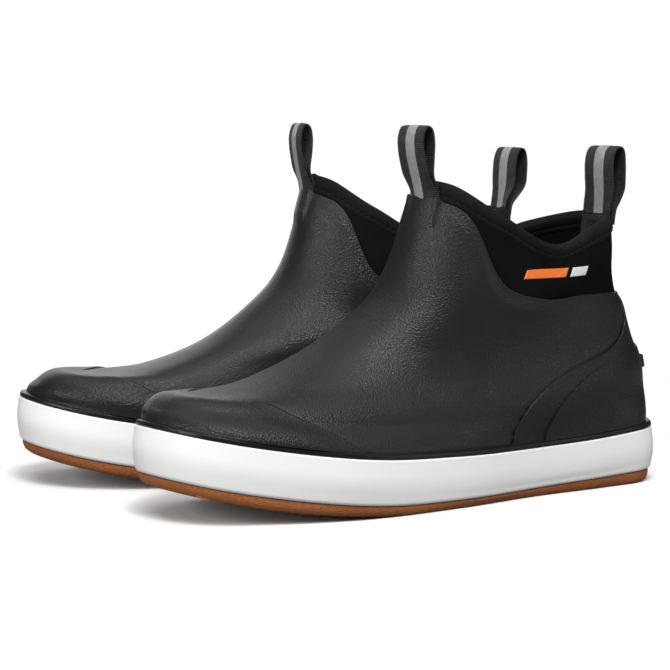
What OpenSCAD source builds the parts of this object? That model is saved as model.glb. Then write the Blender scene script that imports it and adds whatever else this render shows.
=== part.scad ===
// A pair of ankle-height slip-on deck boots, toes toward -Y, soles on z = 0.
// Every piece is drawn for the left boot and placed twice: the right boot is its
// mirror image, set a little further forward.
// Each boot is one family of closed rings. A ring has an angle around the foot
// (0 at the toe, 90 on the outer side, 180 at the heel, 270 on the inner side)
// and a level (0 at the foxing's top edge, 1 at the collar's top edge). The rubber,
// neoprene and lining are layers of the same rings at different depths.

/* [Boot] */
// Length over the foxing
boot_length = 304; // [290:1:320]
// Height of the collar's top edge at the instep
instep_height = 165; // [155:1:180]
// Height of the collar's top edge at the heel
back_height = 145; // [138:1:160]
// Lift of the toe above the floor
toe_spring = 18; // [8:1:22]
// Part of the length, from the toe, that curves up
spring_part = 0.44; // [0.3:0.01:0.5]

/* [Stance] */
// Distance between the two boots' centres
boot_spacing = 110.6; // [108:0.1:160]
// Toe-out angle of each boot
toe_out = 7.4; // [0:0.1:12]
// How far the right boot stands in front of the left
stagger = 18.3; // [0:0.1:60]

/* [Sole] */
// Foxing outline to the outer side, from toe to heel in equal angle steps
outer_side = [-4, 29.7, 47.5, 57.2, 52.4, 41.5, 36.9, 29.7, 2]; // [-10:0.5:65]
// Foxing outline to the inner side, from toe to heel in equal angle steps
inner_side = [-4, 32.7, 51.4, 52.6, 41.6, 36.8, 37.9, 26.2, 2]; // [-10:0.5:65]
// Height of the foxing's top edge over the spring line, from toe to heel
foxing_top = [28.9, 29.3, 27.9, 25.9, 26.6, 30.5]; // [20:0.5:36]
// Height of the outsole's top edge over the spring line, from toe to heel
outsole_top = [5.6, 6.1, 5.1, 4.4, 5.6, 7.4]; // [4:0.1:8]
// Width of one siped groove in the outsole
groove_width = 1.6; // [1:0.1:3]
// Depth of a siped groove
groove_depth = 2; // [1:0.1:2.5]
// Thickness of the midsole filler
filler_thickness = 7; // [5:0.1:8]
// Thickness of the insole board
board_thickness = 2; // [1.5:0.1:3]
// Thickness of the removable insole
insole_thickness = 4.2; // [3:0.1:5]

/* [Upper] */
// Instep profile, distance along the boot at eight even levels
front_y = [-145.3, -141.5, -130, -95.9, -56.7, -24.4, -4, 11.2]; // [-150:0.5:20]
// Instep profile, height at six levels between the foxing and the collar
front_z = [53, 59.4, 59.5, 71.7, 92.8, 116.4]; // [45:0.5:140]
// Heel profile, distance along the boot at eight even levels
back_y = [145.4, 146.8, 145, 140.4, 135.2, 131.8, 130.1, 129.6]; // [120:0.5:150]
// Half width of the upper at eight even levels
half_width = [49, 48.7, 47.4, 42.7, 41.8, 40.7, 42.4, 38]; // [30:0.5:55]
// Roundness of the rings, 1 is an ellipse and less is squarer
roundness = [0.62, 0.72, 0.77, 0.86, 0.87, 0.93, 0.93, 0.95]; // [0.5:0.01:1]
// How much wider the rings are in front than behind
front_skew = [0.15, 0.09, 0, 0, 0.02, 0.07, 0.06, 0.07]; // [0:0.01:0.2]
// Shift of the instep ridge toward the outer side
ridge_shift = [-7, -8.4, -9.8, -14.2, -14.5, -8.6, -5.2, -2]; // [-20:0.5:5]
// Fullness of the vamp beside the instep ridge
side_lift = [0, 1.1, 1.3, 7.3, 7.7, 4.4, 2.3, 0]; // [0:0.5:12]
// Height of the collar's top edge at the sides, from instep to heel
collar_dip = [161, 147, 132.3, 140, 144.6]; // [120:0.5:165]
// How much higher the collar's inner side is
inner_rise = 1.5; // [0:0.5:5]
// Level of the rubber's top edge, from instep to heel
rubber_edge = [0.97, 0.97, 0.955, 0.86, 0.825, 0.752, 0.683, 0.63, 0.613]; // [0.5:0.001:0.98]

/* [Layers] */
// Thickness of the rubber shell
shell_thickness = 2.2; // [1.5:0.1:3]
// Thickness of the neoprene upper
neoprene_thickness = 2.75; // [2:0.05:4]
// Thickness of the knit lining
lining_thickness = 0.95; // [0.5:0.05:1.5]
// Thickness of the toe cap and of the heel overlays
overlay_thickness = 0.9; // [0.6:0.1:1.5]
// Thickness of the stiffeners hidden at the toe and the heel
stiffener_thickness = 0.75; // [0.5:0.05:1]
// Thickness of the binding's two legs
binding_thickness = 1.3; // [1:0.1:2]

/* [Pull loops] */
// Width of the webbing
webbing_width = 24; // [18:1:26]
// Thickness of the webbing
webbing_thickness = 1.5; // [1:0.1:2]
// Radius of a loop's rounded top
loop_radius = 5.4; // [4:0.1:7]
// Height of the front loop over its hinge line
front_loop_rise = 35.6; // [28:0.1:45]
// Height of the rear loop over its hinge line
rear_loop_rise = 30.4; // [26:0.1:40]
// Lean of the front loop away from the leg
front_loop_lean = 5; // [0:0.5:10]
// Width of the reflective stripe
stripe_width = 8; // [4:0.5:12]

/* [Hidden] */

gap = 0.04;              // air left between bonded layers
sole_gap = 0.3;          // air left between stacked sole layers
trim_height = 3;         // foxing top edge up to level 0
toe_thinned = 0.35;      // share by which the layers thin out over the toe
cells = 32;              // facets around a ring
step = 360 / cells;
half_length = boot_length / 2;

// Depths of the layers below the rubber's outer face
neoprene_depth = shell_thickness + gap;
pocket_depth = neoprene_depth + stiffener_thickness + gap;
lining_depth = shell_thickness + neoprene_thickness + 2 * gap;
skin_depth = lining_depth + lining_thickness;
stack_depth = shell_thickness + sole_gap;
lug_foot = 2 * overlay_thickness + sole_gap;
binding_outside = neoprene_depth - binding_thickness - gap;
binding_inside = skin_depth + binding_thickness + gap;

// Heights of the layers over the outsole's top
board_foot = filler_thickness + sole_gap;
insole_foot = board_foot + board_thickness + sole_gap;

// Grooves across the outsole
groove_count = 15;
groove_start = -0.39 * boot_length;
groove_pitch = 0.055 * boot_length;
groove_reach = 0.78;     // part of the sole's width that a groove crosses
floor_inset = 4.5;       // the tread's outline inside the foxing's widest line

// Pull loops
hinge_radius = 1.5;
tack_radius = 0.6;
stitch_proud = 0.7;      // how far the thread stands out of the binding

outline_ring = [
    for (i = [0:8]) outer_side[i],
    for (i = [7:-1:1]) -inner_side[i]
];

// ---- curves ----

// Smooth curve between b and c, with a before them and d after
function blend(a, b, c, d, t) =
    0.5 * (2 * b + (c - a) * t + (2 * a - 5 * b + 4 * c - d) * t * t
    + (3 * b - a - 3 * c + d) * t * t * t);

// Open curve through evenly spaced values, u from 0 to 1
function along(list, u) =
    let (n = len(list) - 1, s = min(max(u, 0), 0.999999) * n, i = floor(s),
         b = list[i], c = list[i + 1],
         a = i > 0 ? list[i - 1] : 2 * b - c,
         d = i + 2 <= n ? list[i + 2] : 2 * c - b)
    blend(a, b, c, d, s - i);

// Closed curve through evenly spaced values, angle in degrees
function around(list, angle) =
    let (n = len(list), s = ((angle % 360 + 360) % 360) / 360 * n, i = floor(s))
    blend(list[(i + n - 1) % n], list[i % n], list[(i + 1) % n], list[(i + 2) % n], s - i);

function mix(a, b, t) = a + (b - a) * t;
function ease(t) = let (u = min(max(t, 0), 1)) u * u * (3 - 2 * u);
function share(angle) = (1 - cos(angle)) / 2;
function off_toe(angle) = abs((angle % 360 + 540) % 360 - 180);
function off_heel(angle) = 180 - off_toe(angle);

// ---- sole ----

function spring(y) =
    let (curved = spring_part * boot_length)
    toe_spring * pow(max(curved - half_length - y, 0) / curved, 2);
function foxing_z(y) = spring(y) + along(foxing_top, (y + half_length) / boot_length);
function outsole_z(y) = spring(y) + along(outsole_top, (y + half_length) / boot_length);
function outline_y(angle, inset) = -(half_length - 1.5 * inset) * cos(angle);
function outline_x(angle, inset) = around(outline_ring, angle) * (1 - inset / 51);

// Points of the sole's outline, inset from the foxing's widest line. Their height
// is given over the floor line, over the outsole's top or over the foxing's top.
function floor_point(angle, inset) =
    let (y = outline_y(angle, inset)) [outline_x(angle, inset), y, spring(y)];
function outsole_point(angle, inset, over) =
    let (y = outline_y(angle, inset)) [outline_x(angle, inset), y, outsole_z(y) + over];
function foxing_point(angle, inset, over) =
    let (y = outline_y(angle, inset)) [outline_x(angle, inset), y, foxing_z(y) + over];

// ---- upper ----

function front_height(level) =
    along(concat([foxing_z(front_y[0]) + trim_height], front_z, [instep_height]), level);
function collar_z(angle) =
    along(concat([instep_height], collar_dip, [back_height]), off_toe(angle) / 180)
    + inner_rise * pow(min(sin(angle), 0), 2);

// Outer face of the rubber
function skin_point(angle, level) =
    let (s = share(angle),
         y = mix(along(front_y, level), along(back_y, level), s),
         low = foxing_z(mix(front_y[0], back_y[0], s)) + trim_height,
         front_low = foxing_z(front_y[0]) + trim_height,
         climb = (front_height(level) - front_low) / (instep_height - front_low),
         lift = along(side_lift, level) * pow(sin(angle), 2) * (1 - s) * 2,
         z = low + (collar_z(angle) - low) * mix(climb, level, s) + lift,
         shape = pow(abs(sin(angle)), along(roundness, level)) * sign(sin(angle)),
         skew = 1 + along(front_skew, level) * cos(angle),
         shift = along(ridge_shift, level) * pow(cos(angle / 2), 2),
         free = shift + along(half_width, level) * skew * shape,
         bound = outline_x(angle, 3.6))
    [mix(bound, free, ease(level / 0.2)), y, z];

function unit(v) = v / norm(v);
function outward(angle, level) =
    let (a = skin_point(angle + 3, level) - skin_point(angle - 3, level),
         b = skin_point(angle, min(level + 0.03, 1)) - skin_point(angle, max(level - 0.03, 0)),
         n = unit(cross(a, b)))
    unit([n.x, n.y, n.z * ease(level / 0.12)]);

// The layers thin out where the toe's walls turn over into the vamp
function toe_thinning(angle, level) =
    toe_thinned * exp(-pow((off_toe(angle) - 36) / 30, 2) - pow((level - 0.2) / 0.15, 2));
function layer_point(angle, level, depth) =
    skin_point(angle, level)
    - depth * (1 - (depth > 0 ? toe_thinning(angle, level) : 0)) * outward(angle, level);

// Below level 0 the layers run down inside the foxing, drawn in a little
function skirt_point(angle, depth, drop) =
    let (p = layer_point(angle, 0, depth))
    [p.x * (1 - 0.002 * drop), p.y + 0.12 * drop * cos(angle), p.z - drop];
function drop_to_outsole(angle) =
    let (y = mix(front_y[0], back_y[0], share(angle)))
    foxing_z(y) + trim_height - outsole_z(y);

// ---- lines drawn on the upper, as levels ----

function toe_line(angle) = 0.345 * (1 - pow(min(off_toe(angle) / 66, 1), 4));
function counter_line(angle) =
    let (a = off_heel(angle))
    a >= 75 ? 0 : 0.39 * sqrt(1 - pow(a / 75, 10)) + 0.225 * exp(-pow(a / 26, 2));
function stabiliser_line(angle) =
    let (a = off_heel(angle))
    a >= 65.5 ? 0 : 0.357 * sqrt(1 - pow(a / 65.5, 8));
function rubber_line(angle) = along(rubber_edge, off_toe(angle) / 180);
function binding_line(angle) = 1 - mix(0.0235, 0.078, share(angle));
function low_line(angle) = max(0.012, toe_line(angle) / 2, stabiliser_line(angle));
function high_line(angle) =
    min(max(low_line(angle) + 0.012, toe_line(angle), counter_line(angle)),
        rubber_line(angle) - 0.03);

// The rows that all layers share. Row -1 stands on the outsole, row 0 on the insole
// board, row 1 is the foxing's top edge, row 2 is level 0, row 4 the stabiliser's
// edge, row 6 the toe cap's and counter's edge, row 9 the rubber's top edge, row 12
// the binding's lower edge and row 13 the collar's top. A kick lug stands between
// row 3 and row 3.5.
function row_level(row, angle) =
    let (low = low_line(angle), high = high_line(angle),
         edge = rubber_line(angle), bind = binding_line(angle))
    row <= 2 ? 0 :
    row < 4 ? mix(mix(0.3, 0.65, share(angle)) * low, low, row - 3) :
    row == 4 ? low :
    row == 5 ? mix(low, high, 0.5) :
    row <= 9 ? mix(high, edge, (row - 6) / 3) :
    row == 10 ? mix(edge, bind, 0.3) :
    row == 11 ? mix(edge, bind, 0.75) :
    row == 12 ? bind : 1;
function base_point(angle, depth, over) =
    let (p = skirt_point(angle, depth, drop_to_outsole(angle) - over))
    [p.x, p.y, outsole_z(p.y) + over];
function row_point(row, angle, depth) =
    row == -1 ? base_point(angle, depth, 0) :
    row == 0 ? base_point(angle, depth, insole_foot) :
    row == 1 ? skirt_point(angle, depth, trim_height) :
    layer_point(angle, row_level(row, angle), depth);

// ---- solids ----

// A closed loop of points swept once around the ring: loops[i] is the loop at angle i.
// Sides listed in turned are split along the other diagonal, so that two layers
// drawn in opposite directions share the same facets where they meet.
module ring_solid(loops, turned) {
    n = len(loops);
    m = len(loops[0]);
    points = [for (loop = loops) each loop];
    faces = [
        for (i = [0:n - 1], j = [0:m - 1])
        let (a = i * m + j, b = i * m + (j + 1) % m,
             c = ((i + 1) % n) * m + (j + 1) % m, d = ((i + 1) % n) * m + j)
        each len(search(j, turned)) > 0 ? [[a, b, d], [b, c, d]] : [[a, b, c], [a, c, d]]
    ];
    polyhedron(points, faces, convexity = 6);
}

// Rings of points stacked from the bottom up and closed with a ladder of facets
module stack_solid(rings) {
    n = len(rings[0]);
    top = (len(rings) - 1) * n;
    points = [for (ring = rings) each ring];
    walls = [
        for (k = [0:len(rings) - 2], i = [0:n - 1])
        let (a = k * n + i, b = k * n + (i + 1) % n)
        each [[a, a + n, b + n], [a, b + n, b]]
    ];
    lids = [
        for (i = [0:n / 2 - 1])
        let (a = i, b = i + 1, c = n - i - 1, d = (n - i) % n)
        each concat(
            i == n / 2 - 1 ? [] : [[a, b, c], [top + a, top + c, top + b]],
            i == 0 ? [] : [[a, c, d], [top + a, top + d, top + c]])
    ];
    polyhedron(points, concat(walls, lids), convexity = 6);
}

// A patch of one layer, from row to row and from angle to angle
module patch_solid(rows, first_cell, last_cell, deep, shallow) {
    m = len(rows);
    n = last_cell - first_cell + 1;
    points = [
        for (depth = [deep, shallow], i = [first_cell:last_cell], row = rows)
        row_point(row, i * step, depth)
    ];
    flip = n * m;
    sheets = [
        for (i = [0:n - 2], j = [0:m - 2])
        let (a = i * m + j, b = a + 1, c = a + m + 1, d = a + m)
        each [[a, c, b], [a, d, c], [flip + a, flip + b, flip + c], [flip + a, flip + c, flip + d]]
    ];
    sides = [
        for (j = [0:m - 2])
        let (a = j, b = j + 1, c = (n - 1) * m + j)
        each [[a, b, flip + b], [a, flip + b, flip + a],
              [c, flip + c + 1, c + 1], [c, flip + c, flip + c + 1]]
    ];
    ends = [
        for (i = [0:n - 2])
        let (a = i * m, b = a + m, c = a + m - 1, d = c + m)
        each [[a, flip + b, b], [a, flip + a, flip + b], [c, d, flip + d], [c, flip + d, flip + c]]
    ];
    polyhedron(points, concat(sheets, sides, ends), convexity = 6);
}

// A full layer of the upper between two depths
module layer_solid(rows, deep, shallow) {
    count = len(rows);
    ring_solid([
        for (i = [0:cells - 1])
        concat(
            [for (row = rows) row_point(row, i * step, shallow(row, i))],
            [for (k = [count - 1:-1:0]) row_point(rows[k], i * step, deep)])
    ], turned = [for (j = [count:2 * count - 2]) j]);
}

// ---- sub-parts, drawn for the left boot ----

function rows(first, end) = [for (row = [first:end]) row];

// Places where a stiffener lies between the rubber and the neoprene
function toe_pocket(row, cell) = row >= 2 && row <= 5 && (cell <= 4 || cell >= 28);
function heel_pocket(row, cell) = row >= 2 && row <= 5 && cell >= 12 && cell <= 20;

// Gum rubber outsole with siped grooves across it
module outsole() {
    color("peru") difference() {
        stack_solid([
            [for (i = [0:cells - 1]) floor_point(i * step, floor_inset)],
            [for (i = [0:cells - 1]) outsole_point(i * step, 3, -sole_gap)]
        ]);
        for (i = [0:groove_count - 1]) groove(groove_start + i * groove_pitch);
    }
}
module groove(y) {
    angle = acos(-y / half_length);
    outer = groove_reach * outline_x(angle, floor_inset);
    inner = groove_reach * outline_x(360 - angle, floor_inset);
    translate([inner, y, -1]) cube([outer - inner, groove_width, 1 + spring(y) + groove_depth]);
}

// Flat layers inside the sole, between two heights over the outsole's top
module sole_layer(depth, low, high) {
    stack_solid([
        [for (i = [0:cells - 1]) base_point(i * step, depth, low)],
        [for (i = [0:cells - 1]) base_point(i * step, depth, high)]
    ]);
}
module midsole_filler() {
    color("dimgray") sole_layer(stack_depth, 0, filler_thickness);
}
module insole_board() {
    color("tan") sole_layer(stack_depth, board_foot, board_foot + board_thickness);
}
module insole() {
    color("slategray")
    sole_layer(skin_depth + sole_gap, insole_foot + sole_gap, insole_foot + insole_thickness);
}

// White foxing band with a rounded face, wrapped around the shell's foot
module foxing_band() {
    color("white") ring_solid([
        for (i = [0:cells - 1])
        let (angle = i * step)
        [foxing_point(angle, 2.2, 0), row_point(1, angle, 0), row_point(0, angle, 0),
         row_point(-1, angle, 0), outsole_point(angle, 2.6, 0),
         outsole_point(angle, 0.8, 4), foxing_point(angle, 0, -11),
         foxing_point(angle, 0.6, -4)]
    ], turned = [1, 2]);
}

// Rounded black strip over the joint between shell and foxing
module foxing_trim() {
    color("#1c1c1e") ring_solid([
        for (i = [0:cells - 1])
        let (angle = i * step, top = row_point(2, angle, 0),
             lip = foxing_point(angle, 2.3, trim_height))
        [top, row_point(1, angle, 0), foxing_point(angle, 2.2, 0),
         foxing_point(angle, 1.5, trim_height / 2),
         [lip.x, lip.y, min(lip.z, top.z) - 0.2]]
    ], turned = [0, 1]);
}

// Moulded rubber shell, open at the foot and at its top edge
module rubber_shell() {
    color("#252527") layer_solid(rows(-1, 9), shell_thickness, function(row, cell) 0);
}

// Raised rubber panels on the shell
module toe_cap() {
    color("#232325") patch_solid(rows(2, 6), -6, 6, -gap, -gap - overlay_thickness);
}
module heel_counter() {
    color("#232325") patch_solid(rows(2, 6), 9, 23, -gap, -gap - overlay_thickness);
}
module heel_stabiliser() {
    color("#2a2a2c")
    patch_solid(rows(2, 4), 10, 22, -2 * gap - overlay_thickness, -2 * gap - 2 * overlay_thickness);
}
module kick_lug() {
    color("#2a2a2c")
    patch_solid([3, 3.5], 15, 17, -lug_foot, -lug_foot - 3 * overlay_thickness);
}

// Stiffeners between shell and neoprene
module toe_puff() {
    color("sienna") patch_solid(rows(2, 5), -4, 4, pocket_depth - gap, neoprene_depth);
}
module heel_stiffener() {
    color("sienna") patch_solid(rows(2, 5), 12, 20, pocket_depth - gap, neoprene_depth);
}

// Neoprene sock, showing above the rubber's edge as the collar panels
module neoprene_upper() {
    color("#111112") layer_solid(rows(0, 13), shell_thickness + neoprene_thickness,
        function(row, cell) toe_pocket(row, cell) || heel_pocket(row, cell)
            ? pocket_depth : neoprene_depth);
}
module lining() {
    color("#2e3034")
    layer_solid(rows(0, 13), skin_depth, function(row, cell) lining_depth);
}

// A point a little past the collar's top edge, in line with the layer below it
function roof_point(angle, depth) =
    let (low = row_point(12, angle, depth), high = row_point(13, angle, depth))
    high + sole_gap * unit(high - low);

// Stretch binding folded over the collar's top edge
module collar_binding() {
    crown = [0, 0, 2 * binding_thickness];
    middle = (binding_outside + binding_inside) / 2;
    color("#0e0e0f") ring_solid([
        for (i = [0:cells - 1])
        let (angle = i * step)
        [row_point(12, angle, binding_outside), row_point(13, angle, binding_outside),
         row_point(13, angle, middle) + crown,
         row_point(13, angle, binding_inside), row_point(12, angle, binding_inside),
         row_point(12, angle, skin_depth + gap),
         roof_point(angle, skin_depth + gap), roof_point(angle, neoprene_depth - gap),
         row_point(12, angle, neoprene_depth - gap)]
    ], turned = [7]);
}

// Thread sewn through the binding near its lower edge
module collar_stitching() {
    color("#3a3a3c") ring_solid([
        for (i = [0:cells - 1])
        let (angle = i * step, low = binding_line(angle),
             foot = mix(low, 1, 0.20), head = mix(low, 1, 0.28))
        [layer_point(angle, foot, binding_outside - 0.2),
         layer_point(angle, foot, binding_outside - stitch_proud),
         layer_point(angle, head, binding_outside - stitch_proud),
         layer_point(angle, head, binding_outside - 0.2)]
    ], turned = []);
}

// Two plain bars bonded to the outer collar panel
module emblem_long_bar() {
    color("orangered") patch_solid(rows(10, 11), 7, 9, neoprene_depth - gap, neoprene_depth - 0.44);
}
module emblem_short_bar() {
    color("gainsboro") patch_solid(rows(10, 11), 9, 10, neoprene_depth - gap, neoprene_depth - 0.44);
}

// ---- pull loops ----

front_hinge = [0, skin_point(0, rubber_line(0)).y - 1, skin_point(0, rubber_line(0)).z + 2];
rear_hinge = skin_point(180, 1) + [0, hinge_radius - 0.5, 2.2];

// Side view of a loop, a rounded top narrowing to the hinge line
module loop_outline(rise, radius, foot, start) {
    centre = rise - radius;
    lean = asin((radius - foot) / centre);
    translate([0, centre]) circle(radius, $fn = 48);
    polygon([
        [-foot * cos(lean), start - foot * sin(lean)], [foot * cos(lean), start - foot * sin(lean)],
        [radius * cos(lean), centre - radius * sin(lean)],
        [-radius * cos(lean), centre - radius * sin(lean)]
    ]);
}
module side_plate(width) {
    translate([-width / 2, 0, 0]) rotate([90, 0, 90]) linear_extrude(width) children();
}
module webbing_loop(rise) {
    color("#2b2b2d") side_plate(webbing_width) difference() {
        union() {
            loop_outline(rise, loop_radius, hinge_radius, 0);
            circle(hinge_radius, $fn = 32);
        }
        loop_outline(rise - webbing_thickness, loop_radius - webbing_thickness, 0.2, 3.2);
        circle(tack_radius + 0.1, $fn = 32);
    }
}
module loop_stripe(rise) {
    color("darkgray") side_plate(stripe_width) difference() {
        loop_outline(rise + 0.4, loop_radius + 0.4, hinge_radius + 0.4, 0);
        loop_outline(rise + gap, loop_radius + gap, hinge_radius + gap, 0);
        translate([-loop_radius, -loop_radius]) square([2 * loop_radius, loop_radius + 2.5]);
    }
}
module bar_tack() {
    color("#3a3a3c") translate([-webbing_width / 2, 0, 0]) rotate([0, 90, 0])
    cylinder(h = webbing_width, r = tack_radius, $fn = 32);
}
module at_front() { translate(front_hinge) rotate([front_loop_lean, 0, 0]) children(); }
module at_rear() { translate(rear_hinge) children(); }
module front_loop() { at_front() webbing_loop(front_loop_rise); }
module front_stripe() { at_front() loop_stripe(front_loop_rise); }
module front_bar_tack() { at_front() bar_tack(); }
module rear_loop() { at_rear() webbing_loop(rear_loop_rise); }
module rear_stripe() { at_rear() loop_stripe(rear_loop_rise); }
module rear_bar_tack() { at_rear() bar_tack(); }
module rear_loop_tails() {
    outside = binding_outside - stitch_proud - gap;
    color("#2b2b2d") patch_solid(rows(12, 13), 15, 17, outside, outside - webbing_thickness);
}

// ---- placing the pair ----

// The pair is centred on the origin from front to back
reach_y = [
    for (i = [0:cells - 1])
    outline_x(i * step, 0) * sin(toe_out) + outline_y(i * step, 0) * cos(toe_out)
];
centre_y = (min(reach_y) - stagger + max(reach_y)) / 2;
module left() {
    translate([boot_spacing / 2, -centre_y, 0]) rotate([0, 0, toe_out]) children();
}
module right() {
    translate([-boot_spacing / 2, -centre_y - stagger, 0]) rotate([0, 0, -toe_out])
    mirror([1, 0, 0]) children();
}

module left_outsole() { left() outsole(); }
module left_midsole_filler() { left() midsole_filler(); }
module left_insole_board() { left() insole_board(); }
module left_insole() { left() insole(); }
module left_foxing_band() { left() foxing_band(); }
module left_foxing_trim() { left() foxing_trim(); }
module left_rubber_shell() { left() rubber_shell(); }
module left_toe_cap() { left() toe_cap(); }
module left_heel_counter() { left() heel_counter(); }
module left_heel_stabiliser() { left() heel_stabiliser(); }
module left_kick_lug() { left() kick_lug(); }
module left_toe_puff() { left() toe_puff(); }
module left_heel_stiffener() { left() heel_stiffener(); }
module left_neoprene_upper() { left() neoprene_upper(); }
module left_lining() { left() lining(); }
module left_collar_binding() { left() collar_binding(); }
module left_collar_stitching() { left() collar_stitching(); }
module left_emblem_long_bar() { left() emblem_long_bar(); }
module left_emblem_short_bar() { left() emblem_short_bar(); }
module left_front_loop() { left() front_loop(); }
module left_front_stripe() { left() front_stripe(); }
module left_front_bar_tack() { left() front_bar_tack(); }
module left_rear_loop() { left() rear_loop(); }
module left_rear_stripe() { left() rear_stripe(); }
module left_rear_bar_tack() { left() rear_bar_tack(); }
module left_rear_loop_tails() { left() rear_loop_tails(); }
module right_outsole() { right() outsole(); }
module right_midsole_filler() { right() midsole_filler(); }
module right_insole_board() { right() insole_board(); }
module right_insole() { right() insole(); }
module right_foxing_band() { right() foxing_band(); }
module right_foxing_trim() { right() foxing_trim(); }
module right_rubber_shell() { right() rubber_shell(); }
module right_toe_cap() { right() toe_cap(); }
module right_heel_counter() { right() heel_counter(); }
module right_heel_stabiliser() { right() heel_stabiliser(); }
module right_kick_lug() { right() kick_lug(); }
module right_toe_puff() { right() toe_puff(); }
module right_heel_stiffener() { right() heel_stiffener(); }
module right_neoprene_upper() { right() neoprene_upper(); }
module right_lining() { right() lining(); }
module right_collar_binding() { right() collar_binding(); }
module right_collar_stitching() { right() collar_stitching(); }
module right_emblem_long_bar() { right() emblem_long_bar(); }
module right_emblem_short_bar() { right() emblem_short_bar(); }
module right_front_loop() { right() front_loop(); }
module right_front_stripe() { right() front_stripe(); }
module right_front_bar_tack() { right() front_bar_tack(); }
module right_rear_loop() { right() rear_loop(); }
module right_rear_stripe() { right() rear_stripe(); }
module right_rear_bar_tack() { right() rear_bar_tack(); }
module right_rear_loop_tails() { right() rear_loop_tails(); }

left_outsole();
left_midsole_filler();
left_insole_board();
left_insole();
left_foxing_band();
left_foxing_trim();
left_rubber_shell();
left_toe_cap();
left_heel_counter();
left_heel_stabiliser();
left_kick_lug();
left_toe_puff();
left_heel_stiffener();
left_neoprene_upper();
left_lining();
left_collar_binding();
left_collar_stitching();
left_emblem_long_bar();
left_emblem_short_bar();
left_front_loop();
left_front_stripe();
left_front_bar_tack();
left_rear_loop();
left_rear_stripe();
left_rear_bar_tack();
left_rear_loop_tails();
right_outsole();
right_midsole_filler();
right_insole_board();
right_insole();
right_foxing_band();
right_foxing_trim();
right_rubber_shell();
right_toe_cap();
right_heel_counter();
right_heel_stabiliser();
right_kick_lug();
right_toe_puff();
right_heel_stiffener();
right_neoprene_upper();
right_lining();
right_collar_binding();
right_collar_stitching();
right_emblem_long_bar();
right_emblem_short_bar();
right_front_loop();
right_front_stripe();
right_front_bar_tack();
right_rear_loop();
right_rear_stripe();
right_rear_bar_tack();
right_rear_loop_tails();
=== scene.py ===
"""Looks for a pair of slip-on deck boots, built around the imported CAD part.

Every piece is modelled for the left boot in millimetres and placed twice. The upper
is one family of rings: an angle around the foot (0 at the toe, 90 on the outer side,
180 at the heel) and a level (0 at the foxing, 1 at the collar's top edge).
"""
import math
import bmesh
import bpy
import numpy as np
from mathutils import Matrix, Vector


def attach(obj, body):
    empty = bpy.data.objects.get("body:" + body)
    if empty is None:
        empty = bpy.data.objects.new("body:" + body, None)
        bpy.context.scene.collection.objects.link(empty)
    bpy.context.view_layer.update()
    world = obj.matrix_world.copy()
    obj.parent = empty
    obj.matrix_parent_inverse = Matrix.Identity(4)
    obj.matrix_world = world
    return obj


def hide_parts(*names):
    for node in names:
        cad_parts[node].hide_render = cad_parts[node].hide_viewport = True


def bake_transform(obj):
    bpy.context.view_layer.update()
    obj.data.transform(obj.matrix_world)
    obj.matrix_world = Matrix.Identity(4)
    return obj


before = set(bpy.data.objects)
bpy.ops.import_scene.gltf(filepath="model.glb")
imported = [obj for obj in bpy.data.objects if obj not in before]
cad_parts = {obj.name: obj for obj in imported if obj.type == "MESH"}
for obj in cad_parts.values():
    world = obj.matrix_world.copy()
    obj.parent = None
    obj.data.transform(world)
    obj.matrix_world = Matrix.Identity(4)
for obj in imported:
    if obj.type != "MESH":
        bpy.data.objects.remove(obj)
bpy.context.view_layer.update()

# ---- the boot's measures, in millimetres and degrees, as in the CAD part ----
LENGTH, TOE_SPRING, SPRING_PART = 304.0, 18.0, 0.44
INSTEP, BACK = 165.0, 145.0  # the collar's heights
SPACING, TOE_OUT, STAGGER = 110.6, 7.4, 18.3  # how the pair stands
CENTRE_Y = -9.2788
HALF = LENGTH / 2
# the sole from toe to heel: half widths on both sides, and heights
OUTER = [-4, 29.7, 47.5, 57.2, 52.4, 41.5, 36.9, 29.7, 2]
INNER = [-4, 32.7, 51.4, 52.6, 41.6, 36.8, 37.9, 26.2, 2]
RING = np.array(OUTER + [-x for x in INNER[7:0:-1]], float)
FOXING_TOP = [28.9, 29.3, 27.9, 25.9, 26.6, 30.5]
OUTSOLE_TOP = [5.6, 6.1, 5.1, 4.4, 5.6, 7.4]
# the upper from the foxing up: its front and back edge, and its sections' shape
FRONT_Y = [-145.3, -141.5, -130, -95.9, -56.7, -24.4, -4, 11.2]
FRONT_Z = [53, 59.4, 59.5, 71.7, 92.8, 116.4]
BACK_Y = [145.4, 146.8, 145, 140.4, 135.2, 131.8, 130.1, 129.6]
HALF_WIDTH = [49, 48.7, 47.4, 42.7, 41.8, 40.7, 42.4, 38]
ROUNDNESS = [0.62, 0.72, 0.77, 0.86, 0.87, 0.93, 0.93, 0.95]
SKEW = [0.15, 0.09, 0, 0, 0.02, 0.07, 0.06, 0.07]
RIDGE = [-7, -8.4, -9.8, -14.2, -14.5, -8.6, -5.2, -2]
LIFT = [0, 1.1, 1.3, 7.3, 7.7, 4.4, 2.3, 0]
# heights of the collar and levels of the rubber's edge, from the front to the heel
COLLAR = [INSTEP, 161, 147, 132.3, 140, 144.6, BACK]
RUBBER_EDGE = [0.97, 0.97, 0.955, 0.86, 0.825, 0.752, 0.683, 0.63, 0.613]
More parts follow.
